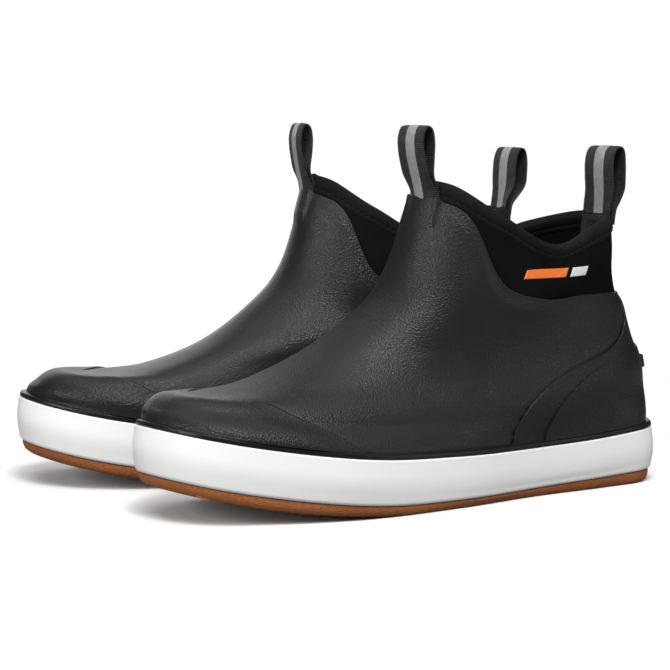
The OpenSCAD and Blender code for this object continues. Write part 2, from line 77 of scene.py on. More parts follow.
# thicknesses, the gap between layers, and the height of the trim on the foxing
SHELL, NEOPRENE, LINING, OVERLAY = 2.2, 2.75, 0.95, 0.9
GAP, TRIM = 0.04, 3.0
NEO_DEPTH = SHELL + GAP
LINING_DEPTH = SHELL + NEOPRENE + 2 * GAP
SKIN_DEPTH = LINING_DEPTH + LINING
HALF_BREADTH = 51  # of the sole, the measure an inset is scaled by
BOARD_TOP = 9.6  # of the insole board over the outsole's top
TOE_LINE_END = 66  # degrees off the toe where the cap's edge meets the foxing
FRONT_SLOPE = 355.0  # millimetres that a whole level would be at the top of the front
HEEL_WALL = 111.0  # millimetres from level 0 to level 1 at the heel


# ---- curves ----
def blend4(a, b, c, d, t):
    return 0.5 * (2 * b + (c - a) * t + (2 * a - 5 * b + 4 * c - d) * t * t
                  + (3 * b - a - 3 * c + d) * t ** 3)


def along(values, u):
    """Smooth open curve through evenly spaced values, u from 0 to 1."""
    v = np.asarray(values, float)
    n = len(v) - 1
    s = np.clip(np.asarray(u, float), 0, 0.999999) * n
    i = np.floor(s).astype(int)
    b, c = v[i], v[i + 1]
    a = np.where(i > 0, v[np.maximum(i - 1, 0)], 2 * b - c)
    d = np.where(i + 2 <= n, v[np.minimum(i + 2, n)], 2 * c - b)
    return blend4(a, b, c, d, s - i)


def around(values, angle):
    """Smooth closed curve through evenly spaced values, angle in degrees."""
    v = np.asarray(values, float)
    n = len(v)
    s = (np.asarray(angle, float) % 360) / 360 * n
    i = np.floor(s).astype(int) % n
    return blend4(v[i - 1], v[i], v[(i + 1) % n], v[(i + 2) % n], s - np.floor(s))


def mix(a, b, t):
    return a + (b - a) * t


def ease(t):
    u = np.clip(t, 0, 1)
    return u * u * (3 - 2 * u)


def sind(a):
    return np.sin(np.radians(a))


def cosd(a):
    return np.cos(np.radians(a))


def share(angle):
    """0 at the toe, 1 at the heel."""
    return (1 - cosd(angle)) / 2


def off_toe(angle):
    """Degrees from the toe, on either side."""
    return np.abs((np.asarray(angle, float) % 360 + 540) % 360 - 180)


def off_heel(angle):
    return 180 - off_toe(angle)


def stack(x, y, z):
    return np.stack(np.broadcast_arrays(x, y, z), -1).astype(float)


# ---- sole ----
def spring(y):
    """The sole's rise toward the toe."""
    curved = SPRING_PART * LENGTH
    return TOE_SPRING * (np.maximum(curved - HALF - y, 0) / curved) ** 2


def foxing_z(y):
    return spring(y) + along(FOXING_TOP, (y + HALF) / LENGTH)


def outsole_z(y):
    return spring(y) + along(OUTSOLE_TOP, (y + HALF) / LENGTH)


def outline(angle, inset):
    """The sole's outline seen from above."""
    y = -(HALF - 1.5 * inset) * cosd(angle)
    return around(RING, angle) * (1 - inset / HALF_BREADTH), y


def sole_point(height):
    """A function for points of the sole, an inset inside its outline and over a height."""
    def point(angle, inset, over):
        x, y = outline(angle, inset)
        return stack(x, y, height(y) + over)
    return point


floor_point, outsole_point, foxing_point = map(sole_point, (spring, outsole_z, foxing_z))


# ---- upper ----
def front_height(level):
    return along([foxing_z(FRONT_Y[0]) + TRIM] + FRONT_Z + [INSTEP], level)


def collar_z(angle):
    return along(COLLAR, off_toe(angle) / 180) + 1.5 * np.minimum(sind(angle), 0) ** 2


def skin(angle, level):
    """Outer face of the rubber."""
    angle, level = np.broadcast_arrays(np.asarray(angle, float), np.asarray(level, float))
    s = share(angle)
    y = mix(along(FRONT_Y, level), along(BACK_Y, level), s)
    low = foxing_z(mix(FRONT_Y[0], BACK_Y[0], s)) + TRIM
    front_low = foxing_z(FRONT_Y[0]) + TRIM
    climb = (front_height(level) - front_low) / (INSTEP - front_low)
    lift = along(LIFT, level) * sind(angle) ** 2 * (1 - s) * 2
    z = low + (collar_z(angle) - low) * mix(climb, level, s) + lift
    sn = sind(angle)
    shape = np.abs(sn) ** along(ROUNDNESS, level) * np.sign(sn)
    skew = 1 + along(SKEW, level) * cosd(angle)
    shift = along(RIDGE, level) * cosd(angle / 2) ** 2
    free = shift + along(HALF_WIDTH, level) * skew * shape
    bound, _ = outline(angle, 3.6)
    return stack(mix(bound, free, ease(level / 0.2)), y, z)


def unit(v):
    return v / np.maximum(np.linalg.norm(v, axis=-1, keepdims=True), 1e-9)


def outward(angle, level):
    """The direction out of the rubber's outer face, level at the foxing."""
    angle, level = np.broadcast_arrays(np.asarray(angle, float), np.asarray(level, float))
    a = skin(angle + 3, level) - skin(angle - 3, level)
    b = skin(angle, np.minimum(level + 0.03, 1)) - skin(angle, np.maximum(level - 0.03, 0))
    n = unit(np.cross(a, b))
    return unit(stack(n[..., 0], n[..., 1], n[..., 2] * ease(level / 0.12)))


def toe_thinning(angle, level):
    """The share by which the layers thin beside the toes, where they curve most."""
    return 0.35 * np.exp(-((off_toe(angle) - 36) / 30) ** 2 - ((level - 0.2) / 0.15) ** 2)


def layer(angle, level, depth):
    """A point of the upper, some depth inside the rubber's outer face."""
    angle, level, depth = np.broadcast_arrays(
        np.asarray(angle, float), np.asarray(level, float), np.asarray(depth, float))
    thin = 1 - np.where(depth > 0, toe_thinning(angle, level), 0)
    return skin(angle, level) - (depth * thin)[..., None] * outward(angle, level)


def skirt(angle, depth, drop):
    """Below level 0 the layers run down inside the foxing, drawn in a little."""
    p = layer(angle, 0.0, depth)
    return stack(p[..., 0] * (1 - 0.002 * drop), p[..., 1] + 0.12 * drop * cosd(angle),
                 p[..., 2] - drop)


def base(angle, depth, over):
    """The foot of a layer, some height over the outsole's top."""
    y = mix(FRONT_Y[0], BACK_Y[0], share(angle))
    drop = foxing_z(y) + TRIM - outsole_z(y) - over
    p = skirt(angle, depth, drop)
    return stack(p[..., 0], p[..., 1], outsole_z(p[..., 1]) + over)


# ---- lines drawn on the upper, as levels ----
def toe_line(angle):
    return 0.345 * (1 - np.minimum(off_toe(angle) / TOE_LINE_END, 1) ** 4)


def counter_line(angle):
    a = np.minimum(off_heel(angle), 75)
    return 0.39 * np.sqrt(1 - (a / 75) ** 10) + 0.225 * np.exp(-(a / 26) ** 2) * (a < 75)


def stabiliser_line(angle):
    a = np.minimum(off_heel(angle), 65.5)
    return 0.357 * np.sqrt(1 - (a / 65.5) ** 8)


def rubber_line(angle):
    return along(RUBBER_EDGE, off_toe(angle) / 180)


def binding_line(angle):
    return 1 - mix(0.0235, 0.078, share(angle))


# ---- mesh helpers ----
class Mesh:
    """Points and faces gathered from several grids."""

    def __init__(self):
        self.points, self.faces, self.count = [], [], 0

    def add(self, points, faces):
        points = np.asarray(points, float).reshape(-1, 3)
        self.points.append(points)
        self.faces.extend([tuple(int(k) + self.count for k in f) for f in faces])
        self.count += len(points)
        return self

    def tube(self, loops):
        """A closed loop of points swept once around a closed ring: loops[i] is one loop."""
        n, m = loops.shape[:2]
        i, j = np.meshgrid(np.arange(n), np.arange(m), indexing="ij")
        i2, j2 = (i + 1) % n, (j + 1) % m
        quads = np.stack([i * m + j, i * m + j2, i2 * m + j2, i2 * m + j], -1).reshape(-1, 4)
        return self.add(loops, quads)

    def strip(self, loops):
        """Closed loops stacked into a solid and capped at both ends."""
        n, m = loops.shape[:2]
        i, j = np.meshgrid(np.arange(n - 1), np.arange(m), indexing="ij")
        j2 = (j + 1) % m
        quads = np.stack([i * m + j, i * m + j2, (i + 1) * m + j2, (i + 1) * m + j], -1)
        caps = [tuple(range(m))[::-1], tuple(range((n - 1) * m, n * m))]
        return self.add(loops, list(quads.reshape(-1, 4)) + caps)

    def sheet(self, top, bottom):
        """Two grids of the same shape joined around their edges into a closed solid."""
        n, m = top.shape[:2]
        i, j = np.meshgrid(np.arange(n - 1), np.arange(m - 1), indexing="ij")
        q = np.stack([i * m + j, (i + 1) * m + j, (i + 1) * m + j + 1, i * m + j + 1], -1)
        q = q.reshape(-1, 4)
        low = q[:, ::-1] + n * m
        edge = ([(0, k) for k in range(m)] + [(k, m - 1) for k in range(1, n)]
                + [(n - 1, k) for k in range(m - 2, -1, -1)]
                + [(k, 0) for k in range(n - 2, 0, -1)])
        ids = [a * m + b for a, b in edge]
        sides = [(a, b, b + n * m, a + n * m) for a, b in zip(ids, ids[1:] + ids[:1])]
        return self.add(np.concatenate([top.reshape(-1, 3), bottom.reshape(-1, 3)]),
                        list(q) + list(low) + sides)


def place(points, side):
    """Left-boot millimetres to the CAD frame in metres."""
    p = np.array(points, float)
    if side == "right":
        p[:, 0] *= -1
    hand = 1 if side == "left" else -1
    c, s = math.cos(math.radians(hand * TOE_OUT)), math.sin(math.radians(hand * TOE_OUT))
    x = p[:, 0] * c - p[:, 1] * s + hand * SPACING / 2
    y = p[:, 0] * s + p[:, 1] * c - CENTRE_Y - (0 if side == "left" else STAGGER)
    return np.stack([x, y, p[:, 2]], -1) / 1000


MERGE_DISTANCE, SHORTEST_EDGE = 2e-6, 1e-7  # metres


def piece(name, mesh, side, material, smooth, body="boot"):
    """Makes one object of a boot in place of the CAD node of the same name.

    body is the body it rides. Given as two bodies and two points in millimetres, the
    piece is left unattached with its transform baked in; the bodies and points are not used. smooth
    is the sharpest smooth edge.
    """
    points = place(np.concatenate(mesh.points), side)
    faces = [f[::-1] for f in mesh.faces] if side == "right" else mesh.faces
    data = bpy.data.meshes.new(f"{side}.{name}")
    data.from_pydata(points.tolist(), [], faces)
    data.validate()
    bm = bmesh.new()
    bm.from_mesh(data)
    bmesh.ops.remove_doubles(bm, verts=bm.verts, dist=MERGE_DISTANCE)
    bmesh.ops.dissolve_degenerate(bm, edges=bm.edges, dist=SHORTEST_EDGE)
    bmesh.ops.recalc_face_normals(bm, faces=bm.faces)
    bm.to_mesh(data)
    bm.free()
    data.materials.append(material)
    obj = bpy.data.objects.new(f"{side}.{name}", data)
    bpy.context.scene.collection.objects.link(obj)
    data.shade_smooth()
    data.set_sharp_from_angle(angle=math.radians(smooth))
    if isinstance(body, tuple):
        first, second, start, end = body
        ends = place(np.array([start, end]), side)
        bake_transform(obj)
    else:
        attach(obj, f"{side}_{body}")
    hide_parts(f"{side}_{name}")


def distance_to(points, line):
    """Least distance in millimetres from each point to a polyline."""
    shape = points.shape[:-1]
    p = points.reshape(-1, 3)
    out = np.full(len(p), np.inf)
    a, b = line[:-1], line[1:]
    d = b - a
    length = np.maximum((d * d).sum(-1), 1e-12)
    for k in range(len(a)):
        t = np.clip(((p - a[k]) @ d[k]) / length[k], 0, 1)
        out = np.minimum(out, np.linalg.norm(p - a[k] - t[:, None] * d[k], axis=1))
    return out.reshape(shape)


# ---- materials ----
class Nodes:
    """A short way of writing a node material."""

    def __init__(self, name, rough, specular, sheen=0.0):
        self.material = bpy.data.materials.new(name)
        self.material.use_nodes = True
        self.tree = self.material.node_tree
        self.tree.nodes.clear()
        self.out = self.node("ShaderNodeOutputMaterial")
        self.shader = self.node("ShaderNodeBsdfPrincipled")
        self.link(self.shader, "BSDF", self.out, "Surface")
        self.shader.inputs["Roughness"].default_value = rough
        self.shader.inputs["Specular IOR Level"].default_value = specular
        self.shader.inputs["Sheen Weight"].default_value = sheen
        self.shader.inputs["Sheen Roughness"].default_value = 0.45
        self.coords = self.node("ShaderNodeTexCoord")

    def node(self, kind, **values):
        n = self.tree.nodes.new(kind)
        for key, value in values.items():
            if key in n.inputs:
                n.inputs[key].default_value = value
            else:
                setattr(n, key, value)
        return n

    def link(self, a, out, b, into):
        self.tree.links.new(a.outputs[out], b.inputs[into])

    def stretched(self, scale):
        m = self.node("ShaderNodeMapping")
        m.inputs["Scale"].default_value = scale
        self.link(self.coords, "Object", m, "Vector")
        return m

    def texture(self, kind, scale, source=None, **values):
        t = self.node(kind, **values)
        t.inputs["Scale"].default_value = scale
        if source is None:
            self.link(self.coords, "Object", t, "Vector")
        else:
            self.link(source, "Vector", t, "Vector")
        return t

    def noise(self, scale, detail, source=None):
        t = self.texture("ShaderNodeTexNoise", scale, source)
        t.inputs["Detail"].default_value = detail
        return t

    def voronoi(self, scale):
        return self.texture("ShaderNodeTexVoronoi", scale)

    def wave(self, scale, direction):
        return self.texture("ShaderNodeTexWave", scale, bands_direction=direction)

    def colour(self, source, out, low, high):
        """Base colour varying between two colours."""
        r = self.node("ShaderNodeValToRGB")
        for stop, at, colour in zip(r.color_ramp.elements, (0.3, 0.7), (low, high)):
            stop.position = at
            stop.color = (*colour, 1)
        self.link(source, out, r, "Fac")
        self.link(r, "Color", self.shader, "Base Color")

    def wear(self, source, low, high):
        """Roughness varying between two values."""
        r = self.node("ShaderNodeMapRange")
        r.inputs["To Min"].default_value = low
        r.inputs["To Max"].default_value = high
        self.link(source, "Fac", r, "Value")
        self.link(r, "Result", self.shader, "Roughness")

    def bump(self, source, out, depth_mm):
        """Adds a relief of the given depth. Later calls lie over earlier ones."""
        b = self.node("ShaderNodeBump")
        b.inputs["Strength"].default_value = 1
        b.inputs["Distance"].default_value = depth_mm / 1000
        self.link(source, out, b, "Height")
        normal = self.shader.inputs["Normal"]
        if normal.links:
            self.tree.links.new(normal.links[0].from_socket, b.inputs["Normal"])
        self.link(b, "Normal", self.shader, "Normal")


def rubber(name, low, high, rough, grain_mm, depth_mm, scuff, specular):
    """Grained rubber: pebbles of about grain_mm, with fine noise over them."""
    n = Nodes(name, rough, specular)
    n.colour(n.noise(14, 4), "Fac", low, high)
    n.wear(n.noise(60, 6), rough - scuff, rough + scuff)
    n.bump(n.voronoi(1000 / grain_mm), "Distance", depth_mm)
    n.bump(n.noise(1800 / grain_mm, 1), "Fac", depth_mm * 0.3)
    return n.material


def knit(name, low, high, pitch_mm, depth_mm, rough, sheen, specular):
    """Knitted cloth: crossing rows of stitches under a little fuzz."""
    n = Nodes(name, rough, specular, sheen)
    n.colour(n.noise(35, 5), "Fac", low, high)
    scale = 1000 / pitch_mm / math.pi
    n.bump(n.wave(scale, "X"), "Fac", depth_mm)
    n.bump(n.wave(scale, "Z"), "Fac", depth_mm)
    n.bump(n.noise(3500, 2), "Fac", depth_mm * 0.8)
    return n.material


def thread(name, low, high):
    """Twisted thread."""
    n = Nodes(name, 0.6, 0.2, 0.05)
    n.colour(n.noise(900, 3), "Fac", low, high)
    n.bump(n.wave(2600 / math.pi, "DIAGONAL"), "Fac", 0.06)
    return n.material


def woven(name, low, high):
    """Webbing's yarn. Its ribs are geometry."""
    n = Nodes(name, 0.7, 0.2, 0.08)
    n.colour(n.noise(300, 5), "Fac", low, high)
    n.bump(n.noise(2400, 3, n.stretched((1, 1, 3))), "Fac", 0.12)
    return n.material


def film(name, low, high, clouding, rough, specular, beads):
    """Bonded tape or film with a fine beaded surface."""
    n = Nodes(name, sum(rough) / 2, specular)
    cloud = n.noise(clouding, 4)
    n.colour(cloud, "Fac", low, high)
    n.bump(n.voronoi(beads), "Distance", 0.05)
    n.wear(cloud, *rough)
    return n.material


def board(name, low, high, scale):
    """Pressed fibreboard."""
    n = Nodes(name, 0.85, 0.2)
    fibre = n.noise(scale, 8, n.stretched((1, 0.25, 1)))
    n.colour(fibre, "Fac", low, high)
    n.bump(fibre, "Fac", 0.15)
    return n.material


def foam(name, low, high):
    """Closed-cell foam."""
    n = Nodes(name, 0.95, 0.1)
    cell = n.voronoi(1400)
    n.colour(cell, "Distance", low, high)
    n.bump(cell, "Distance", 0.25)
    return n.material


def grey(v):
    return (v, v, v * 1.03)


# rubber: roughness, grain and its depth in millimetres, scuffing, specular
BLACK_RUBBER = rubber("shell_rubber", grey(0.011), grey(0.015), 0.34, 0.85, 0.2, 0.05, 0.34)
CAP_RUBBER = rubber("cap_rubber", grey(0.010), grey(0.0135), 0.34, 0.85, 0.2, 0.05, 0.3)
TRIM_RUBBER = rubber("trim_rubber", grey(0.006), grey(0.0085), 0.34, 0.9, 0.07, 0.05, 0.25)
WHITE_RUBBER = rubber("white_rubber", (0.78, 0.78, 0.775), (0.83, 0.83, 0.825),
                      0.42, 1.6, 0.012, 0.05, 0.3)
GUM_RUBBER = rubber("gum_rubber", (0.27, 0.086, 0.026), (0.40, 0.142, 0.046),
                    0.5, 0.9, 0.35, 0.06, 0.2)
# knit: pitch and depth in millimetres, roughness, sheen, specular
NEOPRENE_CLOTH = knit("neoprene", grey(0.003), grey(0.005), 0.55, 0.03, 0.8, 0.0, 0.06)
LINING_CLOTH = knit("knit_lining", grey(0.003), grey(0.006), 0.9, 0.09, 0.95, 0.02, 0.05)
BINDING_CLOTH = knit("binding_fabric", grey(0.005), grey(0.009), 0.6, 0.05, 0.7, 0.02, 0.08)
INSOLE_CLOTH = knit("insole_knit", grey(0.01), grey(0.02), 1.1, 0.1, 0.95, 0.1, 0.1)
THREAD = thread("thread", grey(0.004), grey(0.009))
WEBBING = woven("webbing", grey(0.019), grey(0.034))
# film: scale of the clouding, least and greatest roughness, specular, scale of the beads
STRIPE = film("reflective_stripe", grey(0.24), grey(0.33), 400, (0.34, 0.5), 0.6, 4200)
ORANGE = film("orange_film", (0.72, 0.14, 0.012), (0.82, 0.19, 0.02),
              220, (0.38, 0.55), 0.5, 1800)
PALE = film("grey_film", (0.62, 0.63, 0.65), (0.72, 0.73, 0.75), 220, (0.38, 0.55), 0.5, 1800)
FIBREBOARD = board("fibreboard", (0.40, 0.29, 0.18), (0.55, 0.42, 0.28), 700)
STIFFENER = board("stiffener_board", (0.30, 0.20, 0.12), (0.42, 0.30, 0.19), 500)
FOAM = foam("foam", grey(0.16), grey(0.26))
HIDDEN = {"midsole_filler": FOAM, "insole_board": FIBREBOARD,
          "toe_puff": STIFFENER, "heel_stiffener": STIFFENER}

# ---- the upper ----
ANGLES = np.arange(0, 360, 1.25)
FOOT_POINTS = 4  # at the end of every loop of a full layer
FRONT_PART = 40  # the upper's front lies at a smaller y than this
TAB_MIDDLE, TAB_HALF = 0.3, 14.4  # its place and half width across the front
TAB_RISE = 2.0  # how far it stands above the rubber's edge beside it
TAB_STEP = 0.95  # how far the webbing's tail lifts the rubber over it
SELVEDGE_AT = 11.4  # the tail's edge, off the tab's middle


def column(values):
    return np.asarray(values, float)[:, None]


def falling(rows):
    """A row of values from 1 down to 0."""
    return np.linspace(1, 0, rows)[None, :]


def line_on_skin(line, low, high, count=240):
    a = np.linspace(low, high, count)
    return skin(a, line(a))


TOE_EDGE = line_on_skin(toe_line, -TOE_LINE_END, TOE_LINE_END)
COUNTER_EDGE = line_on_skin(counter_line, 105.2, 254.8)


def tab_width(x):
    """1 over the front pull's webbing tail, falling to 0 past its edges."""
    return ease((TAB_HALF - np.abs(x - TAB_MIDDLE)) / 3.0)


def tab_line(angle):
    """The rubber's top edge, with the flat tab that covers the front pull's foot."""
    line = rubber_line(angle)
    x = skin(angle, line)[..., 0]
    front = off_toe(angle) < 60
    return line + TAB_RISE / FRONT_SLOPE * tab_width(x) * front


def tab_relief(p):
    """The front pull's webbing tail, lying under the rubber below its top edge."""
    down = INSTEP - 4.5 - p[..., 2]
    side = np.abs(p[..., 0] - TAB_MIDDLE)
    fade = ease((23 - down) / 5) * (p[..., 1] < FRONT_PART)
    ridge = 0.5 * np.exp(-((side - SELVEDGE_AT) / 0.7) ** 2) * ease((21 - down) / 2)
    return fade * (TAB_STEP * tab_width(p[..., 0]) + ridge)


def groove(p, line, depth, width):
    """A soft crease along a line."""
    return -depth * np.exp(-(distance_to(p, line) / width) ** 2)


def shell_relief(p, angle, level):
    """How far the rubber stands out of its plain surface, in millimetres."""
    x, y, z = p[..., 0], p[..., 1], p[..., 2]
    top = rubber_line(angle)
    millimetres_a_level = np.linalg.norm(skin(angle, top) - skin(angle, top - 0.05), axis=-1) / 0.05
    edge_gap = (top - level) * millimetres_a_level
    on_tab = tab_width(x) * (y < FRONT_PART)
    taper = -0.95 * (1 - ease(edge_gap / 8.0)) * (1 - on_tab)
    crease = groove(p, COUNTER_EDGE, 0.85, 0.8)
    toe = groove(p, TOE_EDGE, 0.45, 1.3) * ease((off_toe(angle) - 8) / 25)
    soft = 0.09 * np.sin(y / 13 + 1.7 * np.sin(z / 17 + x / 31)) * np.sin(z / 11 + x / 19)
    quarter = (x > 0) * -0.5 * np.exp(-((y - 22 + 0.35 * (z - 60)) / 7) ** 2
                                      - ((z - 58) / 20) ** 2)
    return taper + crease + toe + tab_relief(p) + soft * ease(level / 0.1) + quarter


def lip(angle, level, shallow, deep, height, count=7):
    """A rounded edge from one depth to another at the top of a layer."""
    up = unit(skin(angle, level) - skin(angle, level - 0.02))
    t = np.linspace(0, math.pi, count)[None, :, None]
    a, b = layer(angle, level, shallow), layer(angle, level, deep)
    middle, half = (a + b) / 2, (a - b) / 2
    return middle[:, None] + np.cos(t) * half[:, None] + np.sin(t) * height * up[:, None]


def upper_layer(shallow, deep, top, rows, inner_rows, foot, relief=None, height=None):
    """Closed loops of a full layer of the upper, one for each angle.

    Each loop runs from the foot up the outer face, over the edge at the top and down
    the inner face. foot is the foot's height over the outsole's top.
    """
    a = column(ANGLES)
    v = 1 - (1 - np.linspace(0, 1, rows)[None, :]) ** 1.25
    level = top(a) * v
    out = layer(a, level, shallow)
    if relief is not None:
        move = relief(out, np.broadcast_to(a, level.shape), level)
        out = out + move[..., None] * outward(a, level)
    last = top(ANGLES)
    edge = lip(ANGLES, last, shallow, deep, (deep - shallow) / 2 if height is None else height)
    shift = out[:, -1] - layer(ANGLES, last, shallow)
    fade = np.linspace(1, 0, edge.shape[1])[None, :, None]
    edge = edge + fade * shift[:, None]
    inner = layer(a, top(a) * falling(inner_rows), deep)
    drops = np.array([TRIM + 8, TRIM, 0.6])
    foot_out = np.stack([base(ANGLES, shallow, foot)]
                        + [skirt(ANGLES, shallow, d) for d in drops], 1)
    foot_in = np.stack([skirt(ANGLES, deep, d) for d in drops[::-1]]
                       + [base(ANGLES, deep, foot)], 1)
    return np.concatenate([foot_out, out[:, :-1], edge, inner[:, 1:], foot_in], 1)


def make_shell(side):
    m = Mesh().tube(upper_layer(0.0, SHELL, tab_line, 96, 24, 0.0, shell_relief, 0.8))
    piece("rubber_shell", m, side, BLACK_RUBBER, 60)


def sock_top(angle):
    """The level where the neoprene and the lining end, inside the binding."""
    return 1 - (1 - binding_line(angle)) * (0.18 + 0.17 * sind(angle) ** 2)


def hem_line(angle):
    """The binding's lower edge: a little higher than its line over both ankles."""
    return binding_line(angle) + (1 - binding_line(angle)) * 0.1 * sind(angle) ** 2


def seam(angle, level):
    """The stitched seam round the lining, below the collar's edge."""
    down = (1 - level) * (collar_z(angle) - 35)
    return 0.35 * np.exp(-((down - 19.5) / 1.5) ** 2) - 0.5 * np.exp(-((down - 17) / 0.8) ** 2)


def make_sock(side):
    """The stretch upper and its lining."""
    m = Mesh().tube(upper_layer(NEO_DEPTH, SHELL + NEOPRENE, sock_top, 70, 20, BOARD_TOP))
    piece("neoprene_upper", m, side, NEOPRENE_CLOTH, 60)

    inner_rows = 90
    loops = upper_layer(LINING_DEPTH, SKIN_DEPTH, sock_top, 24, inner_rows, BOARD_TOP)
    inner = loops[:, 1 - inner_rows - FOOT_POINTS:-FOOT_POINTS]
    a = column(ANGLES)
    level = sock_top(a) * falling(inner_rows)[:, 1:]
    inner -= seam(a, level)[..., None] * outward(a, level)
    m = Mesh().tube(loops)
    piece("lining", m, side, LINING_CLOTH, 60)


def rounded(distance, radius):
    """A quarter-round's height, 0 at an edge and 1 from one radius in."""
    return np.sqrt(np.maximum(1 - (1 - np.minimum(distance / radius, 1)) ** 2, 0))


def off_edges(u, v, wide, high):
    """Millimetres from each point of a grid to its nearest edge."""
    return np.minimum(np.minimum(u, 1 - u) * wide, np.minimum(v, 1 - v) * high)


def overlay(line, low, high, lift, thick, radius, columns, rows, swell=0.0):
    """A raised rubber panel from the foxing up to a line, with a rounded edge.

    It lies between two angles, lift off the shell. swell is what it stands out more
    away from its edge. thick is a thickness or a function of the angle.
    """
    u = np.linspace(-1, 1, columns)
    a = column((low + high) / 2 + (high - low) / 2 * np.sin(u * math.pi / 2) * 0.9995)
    level = line(a) * (1 - falling(rows) ** 2)
    flat = layer(a, level, -lift)
    reach = distance_to(flat, line_on_skin(line, low, high, 400))
    if callable(thick):
        thick = thick(a)
    height = thick * rounded(reach, radius) + swell * ease((reach - radius) / 15)
    return Mesh().sheet(flat + height[..., None] * outward(a, level),
                        layer(a, level, 0.02 - lift))


def cap_thickness(angle):
    """The toe cap's step, softest over the top of the toes."""
    return mix(0.14, 1.5, ease((off_toe(angle) - 4) / 40))


def kick_lug():
    """A ribbed block on the back, over both heel overlays."""
    u, v = np.linspace(0, 1, 40)[:, None], np.linspace(0, 1, 14)[None, :]
    radius, lift = 0.9, 2 * OVERLAY + GAP
    a, level = 180 + 8.5 * (2 * u - 1), mix(0.235, 0.300, v)
    edge = off_edges(u, v, 20, 7)
    ribs = 0.25 * (np.cos(v * 2 * math.pi * 3) > 0.2) * (edge > radius)
    height = 3.0 * rounded(edge, radius) - ribs
    return Mesh().sheet(layer(a, level, -lift) + height[..., None] * outward(a, level),
                        layer(a, level, 0.3 - lift))


def make_overlays(side):
    """The raised rubber panels. Each overlay starts just inside the ends of its line."""
    cap = overlay(toe_line, 0.1 - TOE_LINE_END, TOE_LINE_END - 0.1, GAP, cap_thickness, 1.8,
                  170, 40, swell=1.8)
    counter = overlay(counter_line, 105.1, 254.9, GAP, 0.95, 0.7, 220, 56)
    stabiliser = overlay(stabiliser_line, 114.6, 245.4, GAP + OVERLAY, 0.95, 1.3, 180, 40)
    for name, mesh, smooth in (("toe_cap", cap, 60), ("heel_counter", counter, 60),
                               ("heel_stabiliser", stabiliser, 60), ("kick_lug", kick_lug(), 40)):
        piece(name, mesh, side, CAP_RUBBER, smooth)


# ---- the sole ----
def arc(a, b, c, count):
    """Quadratic curve from a to c, pulled toward b."""
    t = np.linspace(0, 1, count)[:, None, None]
    return list((1 - t) ** 2 * a + 2 * t * (1 - t) * b + t * t * c)


def make_foxing(side):
    """The pale band round the sole: its top, bulged face, lower corner and inside."""
    a = ANGLES
    wave = 0.10 * np.sin(np.radians(a) * 7) * np.sin(np.radians(a) * 3 + 1)
    top = arc(foxing_point(a, 2.0, 0.0), foxing_point(a, 0.65, 0.05),
              foxing_point(a, 0.75, -1.3), 7)
    belly = [foxing_point(a, inset, over) for inset, over in (
        (0.62, -2.6), (0.45, -5), (0.15 + wave, -8), (wave, -11), (0.08 + wave, -14), (0.35, -17))]
    low = [outsole_point(a, 0.75, 3.2)] + arc(
        outsole_point(a, 0.85, 2.0), outsole_point(a, 1.0, 0.0), outsole_point(a, 2.6, 0.0), 6)
    inside = [base(a, 0.0, 0.0), base(a, 0.0, BOARD_TOP), skirt(a, 0.0, TRIM + 2),
              skirt(a, 0.0, TRIM)]
    m = Mesh().tube(np.stack(top + belly + low + inside, 1))
    piece("foxing_band", m, side, WHITE_RUBBER, 55)


def make_trim(side):
    """The strip along the foxing's top, thicker where it laps over itself round the heel."""
    a = ANGLES
    lap = ease((a - 104.5) / 1.2) * (a < 180) + (a >= 180) * (1 - ease((a - 262) / 1.2))
    bulge = 0.35 * lap
    inner_top, inner_low = skirt(a, 0.0, -0.35), skirt(a, 0.0, TRIM)
    crown = foxing_point(a, 1.25 - bulge, 1.2)
    shoulder = foxing_point(a, 1.7 - bulge, 2.6)
    rim = 0.5 * (inner_top + foxing_point(a, 2.2 - bulge, 3.2))
    points = ([inner_top, inner_low, foxing_point(a, 2.0, 0.02)]
              + arc(foxing_point(a, 1.5, 0.05), foxing_point(a, 1.0 - bulge, 0.4), crown, 4)
              + arc(crown, foxing_point(a, 1.3 - bulge, 2.4), shoulder, 4)[1:] + [rim])
    m = Mesh().tube(np.stack(points, 1))
    piece("foxing_trim", m, side, TRIM_RUBBER, 60)


def zigzag(x):
    """A smooth wave across the sole for the sipes."""
    return 2.1 * np.sin(2 * math.pi * x / 17.0)


TREAD_INSET, TREAD_TOP, TREAD_BEVEL = 8.8, 1.9, 0.25
TREAD_PITCH, SIPE = 6.4, 1.1
TREAD_END = 15  # from the toe and the heel to the tread


def sole_rings(points, height):
    """Rings shrinking from a loop of points to the sole's middle."""
    rings = np.stack([points * (1 - r, 1 - r, 1) for r in np.linspace(0, 0.96, 12)], 1)
    rings[..., 2] = height(rings[..., 1])
    return rings


def tread_bar(m, y0, y1):
    """One wavy bar across the sole, between two sipes."""
    reach = np.linspace(TREAD_END - 3 - HALF, HALF + 3 - TREAD_END, 500)
    angle = np.degrees(np.arccos(-reach / HALF))
    inset = 1 - TREAD_INSET / HALF_BREADTH
    outer, inner = around(RING, angle) * inset, around(RING, 360 - angle) * inset
    v = np.linspace(0, 1, 40)

    def across(y):
        return mix(np.interp(y, reach, inner), np.interp(y, reach, outer), v)

    rows = []
    for y in (y0, y1):
        wavy = np.clip(y + zigzag(across(y)), reach[0], reach[-1])
        rows.append((across(wavy), wavy))
    (xa, ya), (xb, yb) = rows
    points = [(xa, ya, TREAD_TOP), (xb, yb, TREAD_TOP), (xb, yb, TREAD_BEVEL),
              (xb, yb - TREAD_BEVEL, 0), (xa, ya + TREAD_BEVEL, 0), (xa, ya, TREAD_BEVEL)]
    m.strip(np.stack([stack(x, y, spring(y) + over) for x, y, over in points], 1))


